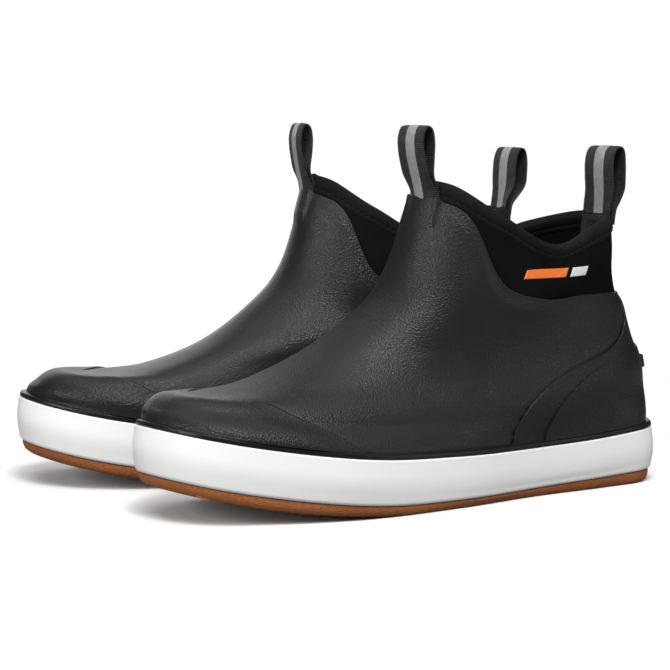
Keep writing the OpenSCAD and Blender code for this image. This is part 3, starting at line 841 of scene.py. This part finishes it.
def make_outsole(side):
    """A closed slab with separate tread bars standing into it from below."""
    a = np.arange(0, 360, 0.5)
    ribs = 0.14 * np.cos(np.arange(len(a)) * math.pi / 2)
    m = Mesh()
    # the slab under the foxing, with a ribbed and rounded edge
    slab = [outsole_point(a, 12, -0.3), outsole_point(a, 2.1, -0.3),
            outsole_point(a, 2.0 + ribs, -1.4), floor_point(a, 2.35 + ribs, 2.6),
            floor_point(a, 2.9 + ribs, 1.0), floor_point(a, 4.2, 0.0), floor_point(a, 8.5, 0.0),
            floor_point(a, 9.0, 1.7), floor_point(a, 13.0, 1.7)]
    m.tube(np.stack(slab, 1))
    # the slab's middle, closed between the rings
    top = sole_rings(outsole_point(a, 11.5, -0.3), lambda y: outsole_z(y) - 0.3)
    low = sole_rings(floor_point(a, 12.5, 1.7), lambda y: spring(y) + 1.7)
    m.tube(np.concatenate([top, low[:, ::-1]], 1))
    for k in range(int((LENGTH - 2 * TREAD_END) / TREAD_PITCH)):
        start = TREAD_END - HALF + k * TREAD_PITCH
        tread_bar(m, start, start + TREAD_PITCH - SIPE)
    piece("outsole", m, side, GUM_RUBBER, 40)


def make_insole(side):
    """The footbed, cupped at the heel and raised under the arch."""
    under, over, brim_drop = 10.4, 13.6, 1.2
    a = np.arange(0, 360, 2.5)
    r = np.array([0.02, 0.15, 0.3, 0.45, 0.6, 0.7, 0.78, 0.85, 0.91, 0.96, 1.0])
    rim = base(a, SKIN_DEPTH + 0.5, under)
    y = rim[:, 1]
    cup = 5.0 * ease((y - 40) / 60) + 2.5 * ease((y + 20) / 60) * (rim[:, 0] < 0)
    flat = rim[:, None] * np.stack([r, r, np.ones_like(r)], -1)[None]
    flat[..., 2] = outsole_z(flat[..., 1])
    wall = ease((r - 0.6) / 0.4)[None, :] ** 1.3
    arch = 3.0 * np.exp(-((flat[..., 1] - 20) / 32) ** 2) * ease(-flat[..., 0] / 30)
    top, low = flat.copy(), flat.copy()
    top[..., 2] += over + 0.9 * wall + cup[:, None] * wall + arch
    low[..., 2] += under
    brim = top[:, -1:].copy()
    brim[..., 2] -= brim_drop
    m = Mesh().tube(np.concatenate([low, brim, top[:, ::-1]], 1))
    piece("insole", m, side, INSOLE_CLOTH, 60, "insole")


# ---- collar binding and its stitches ----
# offset off the wall in millimetres, and part of the way up to the wall's top
BINDING_PROFILE = [(-0.05, -0.15), (0.55, 0.0), (0.85, 0.10), (0.50, 0.22), (0.95, 0.36),
                   (1.35, 0.55), (1.50, 0.75), (1.30, 0.95)]
STITCH_OFFSET, STITCH_AT = BINDING_PROFILE[3]
STITCHES, POINTS_A_STITCH = 100, 7


def binding_angles(count):
    """Angles spaced evenly along the binding's lower edge."""
    a = np.arange(0, 360, 0.5)
    p = layer(a, hem_line(a), NEO_DEPTH)
    step = np.linalg.norm(np.diff(np.concatenate([p, p[:1]]), axis=0), axis=1)
    s = np.concatenate([[0], np.cumsum(step)])
    return np.interp(np.linspace(0, s[-1], count, endpoint=False), s, np.append(a, 360))


def pinch(a):
    """The binding is squeezed flat where the rear pull is sewn over it."""
    return 1 - 0.55 * ease((20 - off_heel(a)) / 6)


def binding_point(a, offset, part, inner=False, phase=None):
    """A point of the binding: offset off the collar's wall, part of the way up.

    phase runs through a turn from stitch to stitch, and puckers the cloth.
    """
    line = hem_line(a)
    depth = SKIN_DEPTH if inner else NEO_DEPTH
    low, top = layer(a, line, depth), layer(a, sock_top(a), depth)
    n = outward(a, line) * (-1 if inner else 1)
    pucker = 0
    if phase is not None:
        at_stitch = np.exp(-((part - STITCH_AT) / 0.1) ** 2)
        at_hem = np.exp(-((part - 0.05) / 0.1) ** 2)
        pucker = 0.10 * at_hem * np.cos(phase) - 0.11 * at_stitch * (1 + np.cos(phase))
    return low + part * (top - low) + ((offset + pucker) * pinch(a))[:, None] * n


def make_binding(side):
    """A puckered roll of cloth folded over the collar's edge."""
    a = binding_angles(STITCHES * POINTS_A_STITCH)
    phase = np.arange(len(a)) / POINTS_A_STITCH * 2 * math.pi
    hem, top = hem_line(a), sock_top(a)
    up = unit(layer(a, top, NEO_DEPTH) - layer(a, hem, NEO_DEPTH))
    outer = [binding_point(a, o, part, False, phase) for o, part in BINDING_PROFILE]
    inner = [binding_point(a, o, part, True, phase) for o, part in BINDING_PROFILE[::-1]]
    crown = (0.5 * (layer(a, top, NEO_DEPTH) + layer(a, top, SKIN_DEPTH))
             + (2.2 * pinch(a))[:, None] * up)
    fuller = (0.75 * pinch(a))[:, None] * up
    keys = np.stack(outer + [mix(outer[-1], crown, 0.55) + fuller, crown,
                             mix(inner[0], crown, 0.55) + fuller] + inner, 1)
    n = keys.shape[1]
    s = np.linspace(0, n - 1.0001, 40)
    i = np.floor(s).astype(int)
    t = (s - i)[None, :, None]
    before, after = np.maximum(i - 1, 0), np.minimum(i + 2, n - 1)
    skin_side = blend4(keys[:, before], keys[:, i], keys[:, i + 1], keys[:, after], t)
    lap = 0.06  # how far its back lies inside the two layers it is folded over
    back = [layer(a, hem, SKIN_DEPTH + lap), layer(a, top, SKIN_DEPTH + lap) + 0.1 * up,
            layer(a, top, NEO_DEPTH - lap) + 0.1 * up, layer(a, hem, NEO_DEPTH - lap)]
    m = Mesh().tube(np.concatenate([skin_side, np.stack(back, 1)], 1))
    piece("collar_binding", m, side, BINDING_CLOTH, 70)


def make_collar_stitches(side):
    """One row of stitches on each side of the binding, left out under the rear pull."""
    steps = np.array([0.10, 0.16, 0.32, 0.5, 0.68, 0.84, 0.90])
    rise = np.array([-0.35, 0.05, 0.22, 0.28, 0.22, 0.05, -0.35])
    radius = np.array([0.12, 0.26, 0.30, 0.31, 0.30, 0.26, 0.12])
    starts = binding_angles(STITCHES)
    ends = np.append(starts[1:], 360.0)
    m = Mesh()
    for inner in (False, True):
        for start, end in zip(starts, ends):
            if off_heel(start) >= 15:
                path = binding_point(mix(start, end, steps), STITCH_OFFSET + rise,
                                     STITCH_AT, inner)
                m.strip(rope(path, radius))
    piece("collar_stitching", m, side, THREAD, 80)


def rope(path, radius, count=6):
    """Loops of points around a path, for a closed round strand."""
    d = unit(np.gradient(path, axis=0))
    across = np.where(np.abs(d[:, 2:3]) < 0.9, np.array([[0, 0, 1.0]]), np.array([[1.0, 0, 0]]))
    a = unit(np.cross(d, across))[:, None]
    b = np.cross(d, a[:, 0])[:, None]
    t = (np.arange(count) / count * 2 * math.pi)[None, :, None]
    return path[:, None] + radius[:, None, None] * (np.cos(t) * a + np.sin(t) * b)


# ---- emblem bars ----
BAR_LOW, BAR_HIGH, BAR_SLANT, BAR_THICK = 113.5, 118.5, 2.5, 0.42


def on_outer_collar(y, z):
    """The angle and level of the outer face at a wanted y and z, found step by step."""
    a, level = np.full(y.shape, 95.0), np.full(y.shape, 0.8)
    for _ in range(30):
        p = skin(a, level)
        a = a + np.clip((y - p[..., 1]) / 1.15, -4, 4)
        level = level + np.clip((z - p[..., 2]) / 105, -0.05, 0.05)
    return a, level


def make_bar(side, name, y0, y1, material):
    """A plain slanted bar with rounded corners bonded to the outer collar panel."""
    u, v = np.linspace(0, 1, 60)[:, None], np.linspace(0, 1, 16)[None, :]
    z = mix(BAR_LOW, BAR_HIGH, v) + 0 * u
    a, level = on_outer_collar(mix(y0, y1, u) + BAR_SLANT * (v - 0.5), z)
    height = 0.02 + BAR_THICK * rounded(off_edges(u, v, y1 - y0, BAR_HIGH - BAR_LOW), 0.35)
    face, n = layer(a, level, NEO_DEPTH), outward(a, level)
    m = Mesh().sheet(face + height[..., None] * n, face - 0.1 * n)
    piece(name, m, side, material, 50)


# ---- pull loops ----
FRONT_HINGE = np.array([0.0, 7.1, 156.36])
REAR_HINGE = np.array([0.0, 130.6, 147.2])
RIB = 1.05  # from one rib of the webbing to the next
POINTS_A_RIB = 5
# side views of the loops: distance toward the heel and height over the hinge
FRONT_PATH = {
    "left": [(1.6, -4.5), (0.9, 1.0), (-0.3, 7.5), (-2.2, 14.5), (-3.8, 21.5), (-4.3, 28.5),
             (-2.9, 33.8), (-0.4, 35.3), (1.9, 32.9), (2.8, 27.0), (2.6, 20.0), (2.2, 13.0),
             (2.3, 6.0), (2.6, 1.0), (2.8, -4.5)],
    "right": [(1.5, -4.5), (0.9, 1.0), (0.0, 7.5), (-1.3, 14.5), (-2.4, 21.5), (-2.7, 28.5),
              (-1.2, 34.2), (0.9, 35.4), (3.0, 33.2), (3.9, 27.5), (3.5, 20.0), (2.6, 13.0),
              (2.2, 6.0), (2.6, 1.0), (2.8, -4.5)],
}
REAR_PATH = {
    "left": [(-5.4, -9.0), (-5.1, -4.0), (-4.6, 1.0), (-4.7, 8.0), (-5.3, 17.0), (-5.2, 25.0),
             (-3.5, 30.6), (-0.4, 32.7), (2.4, 31.1), (3.4, 25.5), (3.5, 18.0), (3.2, 10.0),
             (1.7, 3.5), (-0.6, -1.5), (-1.8, -9.0)],
    "right": [(-5.2, -9.0), (-4.8, -4.0), (-4.0, 1.0), (-3.4, 8.0), (-3.1, 16.0), (-2.5, 23.5),
              (-0.7, 28.9), (1.4, 30.6), (3.6, 29.2), (4.8, 24.0), (4.6, 16.5), (3.9, 9.0),
              (2.0, 3.5), (-0.6, -1.5), (-1.8, -9.0)],
}
# how fast the collar curves back on either side of a pull, per millimetre
FRONT_WRAP, REAR_WRAP = 0.0225, 0.013
TWIST = {("front", "left"): 1, ("front", "right"): 0, ("rear", "left"): 3, ("rear", "right"): -12}


def smooth_path(points, count):
    """An evenly spaced smooth path through 2-D points, and its length."""
    p = np.asarray(points, float)
    u = np.linspace(0, 1, 800)
    q = np.stack([along(p[:, 0], u), along(p[:, 1], u)], -1)
    s = np.concatenate([[0], np.cumsum(np.linalg.norm(np.diff(q, axis=0), axis=1))])
    t = np.linspace(0, s[-1], count)
    return np.stack([np.interp(t, s, q[:, 0]), np.interp(t, s, q[:, 1])], -1), s[-1]


def strap(path_points, hinge, width, thick, offset, rib_depth, picot, columns, middle=0.0):
    """Ribbed webbing along a path in the plane through the hinge, closed at both ends.

    offset moves it off the path, picot widens it at each rib, and middle is its
    middle's place across the loop.
    """
    _, length = smooth_path(path_points, 50)
    path, _ = smooth_path(path_points, int(length / RIB) * POINTS_A_RIB + 1)
    d = np.gradient(path, axis=0)
    d /= np.linalg.norm(d, axis=1, keepdims=True)
    rib = column(0.5 + 0.5 * np.cos(np.arange(len(path)) / POINTS_A_RIB * 2 * math.pi))
    v = np.linspace(-1, 1, columns)[None, :]
    x = middle + v * (width / 2 + picot * (rib - 0.5))
    thin_edge = 1 - np.maximum(np.abs(v) - 0.86, 0) / 0.14 * 0.35
    half = thick / 2 * thin_edge - rib_depth * (1 - rib)
    off = np.concatenate([offset + half, (offset - half)[:, ::-1]], 1)
    loops = stack(np.concatenate([x, x[:, ::-1]], 1),
                  hinge[1] + path[:, :1] - off * d[:, 1:],
                  hinge[2] + path[:, 1:] + off * d[:, :1])
    return Mesh().strip(loops)


def twisted(mesh, hinge, degrees, wrap):
    """Wraps a loop's foot round the collar and turns it about the upright, more with height."""
    v = np.concatenate(mesh.points) - hinge
    v[:, 1] += wrap * v[:, 0] ** 2 * (1 - ease(v[:, 2] / 12))
    turn = np.radians(degrees) * ease(v[:, 2] / 14)
    x = v[:, 0] * np.cos(turn) - v[:, 1] * np.sin(turn)
    y = v[:, 0] * np.sin(turn) + v[:, 1] * np.cos(turn)
    mesh.points = [np.stack([x, y, v[:, 2]], -1) + hinge]
    return mesh


def make_pull(side, name, hinge, path, wrap):
    """A webbing loop and its stripe, placed with their transforms baked in and attached to no body.
    """
    turn = TWIST[name, side]
    body = ("boot", f"{name}_loop", hinge + (0, 0, -1.5), hinge + (0, 0, 5.0))
    web = twisted(strap(path, hinge, 23.0, 1.25, 0.0, 0.16, 0.5, 13), hinge, turn, wrap)
    piece(f"{name}_loop", web, side, WEBBING, 60, body)
    tape = strap(path, hinge, 7.8, 0.30, 0.70, 0.05, 0.0, 9, 0.3)
    piece(f"{name}_stripe", twisted(tape, hinge, turn, wrap), side, STRIPE,
          60, body)


STITCH_STEPS = np.array([0, 0.15, 0.5, 0.85, 1.0])


def make_front_tack(side):
    """Three short rows of slanted stitches over the pull's foot, along the tab's edge."""
    rise = np.array([-0.2, 0.1, 0.2, 0.1, -0.2])
    radius = np.array([0.1, 0.22, 0.24, 0.22, 0.1])
    m = Mesh()
    for row in range(3):
        for k in range(9):
            x = -9.6 + k * 2.2 + STITCH_STEPS * 1.7
            y = FRONT_HINGE[1] + 0.9 + FRONT_WRAP * x ** 2 - rise
            z = FRONT_HINGE[2] - 2.6 + row * 0.9 + 0.3 * (-1) ** k * (STITCH_STEPS - 0.5)
            m.strip(rope(np.stack([x, y, z], -1), radius))
    piece("front_bar_tack", m, side, THREAD, 80)


def sewn_box(width, height):
    """A sewn box with a cross in it, as separate short flat stitches."""
    corners = [np.array(c) * (width / 2, height / 2) for c in ((-1, -1), (1, -1), (1, 1), (-1, 1))]
    for first, last in ((0, 1), (1, 2), (2, 3), (3, 0), (0, 2), (1, 3)):
        a, b = corners[first], corners[last]
        n = max(3, int(np.linalg.norm(b - a) / 2.4))
        for k in range(n):
            start, end = mix(a, b, (k + 0.12) / n), mix(a, b, (k + 0.88) / n)
            yield start + STITCH_STEPS[:, None] * (end - start)


def make_rear_tack(side):
    """The sewn box through the rear pull's foot, outside and inside the collar."""
    rise = np.array([-0.1, 0.12, 0.2, 0.12, -0.1])[:, None]
    radius = np.array([0.02, 0.22, 0.23, 0.22, 0.02])
    m = Mesh()
    for inner in (False, True):
        for flat in sewn_box(13.0, 7.0):
            x, z = flat[:, 0], flat[:, 1]
            if inner:
                a, level = 180 + np.degrees(np.arcsin(x / 38)), 1 - (8.2 - z) / HEEL_WALL
                p, n = layer(a, level, SKIN_DEPTH + 1.35), -outward(a, level)
            else:
                p = stack(x, REAR_HINGE[1] - 1.0 - REAR_WRAP * x ** 2, 140.3 + z)
                n = np.array([0, 1.0, 0])
            m.strip(rope(p + rise * n, radius))
    piece("rear_bar_tack", m, side, THREAD, 80)


def make_rear_tails(side):
    """The rear webbing's end, folded down inside the collar."""
    u = column(np.linspace(-1, 1, 26))
    down = np.linspace(15.0, 1.5, 60)[None, :]
    a, level = 180 + 17.5 * u, 1 - down / HEEL_WALL
    rib = 0.14 * (0.5 + 0.5 * np.cos(down / RIB * 2 * math.pi))
    height = (0.25 + rib) * np.minimum((1 - np.abs(u)) * 6, 1)
    m = Mesh().sheet(
        layer(a, level, SKIN_DEPTH + 0.3),
        layer(a, level, SKIN_DEPTH + 1.0) - height[..., None] * outward(a, level))
    piece("rear_loop_tails", m, side, WEBBING, 60)


# ---- stage ----
BACKGROUND = 1.05  # the white behind the boots, a little over full


def blend_shaders(n, share_of_second, out, first, second):
    """Mixes two shader outputs by a value from another node."""
    both = n.node("ShaderNodeMixShader")
    n.link(share_of_second, out, both, "Fac")
    n.tree.links.new(first, both.inputs[1])
    n.tree.links.new(second, both.inputs[2])
    return both.outputs["Shader"]


def floor_material():
    """Pale paper that runs out into a plain white background away from the boots.

    Only the camera sees that. To light and reflections the floor is a dull grey.
    """
    n = Nodes("floor", 0.75, 0.15)
    n.colour(n.noise(3, 2), "Fac", (0.90, 0.90, 0.90), (0.92, 0.92, 0.92))
    where = n.node("ShaderNodeNewGeometry")
    distance = n.node("ShaderNodeVectorMath", operation="LENGTH")
    n.link(where, "Position", distance, "Vector")
    far = n.node("ShaderNodeMapRange")
    far.inputs["From Min"].default_value = 0.3
    far.inputs["From Max"].default_value = 0.8
    n.link(distance, "Value", far, "Value")
    glow = n.node("ShaderNodeEmission", Strength=BACKGROUND)
    paper = blend_shaders(n, far, "Result", n.shader.outputs["BSDF"], glow.outputs["Emission"])
    dull = n.node("ShaderNodeBsdfDiffuse", Color=(0.22, 0.22, 0.22, 1))
    ray = n.node("ShaderNodeLightPath")
    seen = blend_shaders(n, ray, "Is Camera Ray", dull.outputs["BSDF"], paper)
    n.tree.links.new(seen, n.out.inputs["Surface"])
    return n.material


def make_world():
    """A white background for the camera, and a dim even light for everything else."""
    world = bpy.data.worlds.new("studio")
    bpy.context.scene.world = world
    world.use_nodes = True
    tree = world.node_tree
    back = tree.nodes["Background"]
    ray = tree.nodes.new("ShaderNodeLightPath")
    level = tree.nodes.new("ShaderNodeMapRange")
    level.inputs["To Min"].default_value = 0.04
    level.inputs["To Max"].default_value = BACKGROUND
    tree.links.new(ray.outputs["Is Camera Ray"], level.inputs["Value"])
    tree.links.new(level.outputs["Result"], back.inputs["Strength"])
    back.inputs["Color"].default_value = (1, 1, 1, 1)


def lamp(name, where, aim, size, power, mirrored=True):
    """A rectangular soft lamp; one that isn't mirrored leaves no highlight."""
    data = bpy.data.lights.new(name, "AREA")
    data.shape = "RECTANGLE"
    data.size, data.size_y = size
    data.energy = power
    obj = bpy.data.objects.new(name, data)
    bpy.context.scene.collection.objects.link(obj)
    obj.location = where
    obj.rotation_euler = (Vector(aim) - Vector(where)).to_track_quat("-Z", "Y").to_euler()
    obj.visible_glossy = mirrored


def make_stage():
    bpy.ops.mesh.primitive_plane_add(size=30, location=(0, 0, 0))
    floor = bpy.context.object
    floor.name = "floor"
    floor.data.materials.append(floor_material())
    make_world()
    middle = (0, 0, 0.08)
    lamp("overhead", (0, 0, 2.2), (0, 0, 0), (2.6, 2.6), 22)
    lamp("behind", (-0.9, -0.25, 1.35), middle, (0.8, 0.8), 1)
    lamp("front", (0.35, -1.6, 0.6), (0, 0, 0.05), (0.8, 0.7), 15)
    lamp("behind_low", (-1.7, 0.6, 0.45), middle, (1.6, 0.7), 5)
    lamp("fill", (1.2, -0.6, 1.3), middle, (0.9, 0.9), 14, False)
    lamp("heel_fill", (0.9, 0.9, 1.2), middle, (0.8, 0.8), 7, False)
    lamp("heel_side", (0.95, 1.25, 0.5), middle, (0.5, 0.9), 3)
    lamp("ridge", (1.0, -0.3, 1.7), middle, (0.5, 0.5), 18)


def make_camera():
    data = bpy.data.cameras.new("camera")
    data.sensor_width = 36
    data.lens = 133.27
    data.shift_y = 0.0112
    data.clip_end = 50
    obj = bpy.data.objects.new("camera", data)
    bpy.context.scene.collection.objects.link(obj)
    azimuth, pitch = math.radians(65.38), math.radians(5.68)
    back = Vector((math.sin(azimuth) * math.cos(pitch), -math.cos(azimuth) * math.cos(pitch),
                   math.sin(pitch)))
    obj.location = Vector((0.01914, -0.01431, 0.07789)) + back * 1.30792
    obj.rotation_euler = (-back).to_track_quat("-Z", "Y").to_euler()
    bpy.context.scene.camera = obj


# ---- the pair ----
for boot in ("left", "right"):
    make_shell(boot)
    make_sock(boot)
    make_overlays(boot)
    make_foxing(boot)
    make_trim(boot)
    make_outsole(boot)
    make_insole(boot)
    make_binding(boot)
    make_collar_stitches(boot)
    make_bar(boot, "emblem_long_bar", 50.0, 77.0, ORANGE)
    make_bar(boot, "emblem_short_bar", 80.0, 92.0, PALE)
    make_pull(boot, "front", FRONT_HINGE, FRONT_PATH[boot], FRONT_WRAP)
    make_pull(boot, "rear", REAR_HINGE, REAR_PATH[boot], -REAR_WRAP)
    make_front_tack(boot)
    make_rear_tack(boot)
    make_rear_tails(boot)
    for node, finish in HIDDEN.items():
        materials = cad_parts[f"{boot}_{node}"].data.materials
        materials.clear()
        materials.append(finish)

make_stage()
make_camera()
view = bpy.context.scene.view_settings
view.view_transform = "Standard"
view.look = "None"
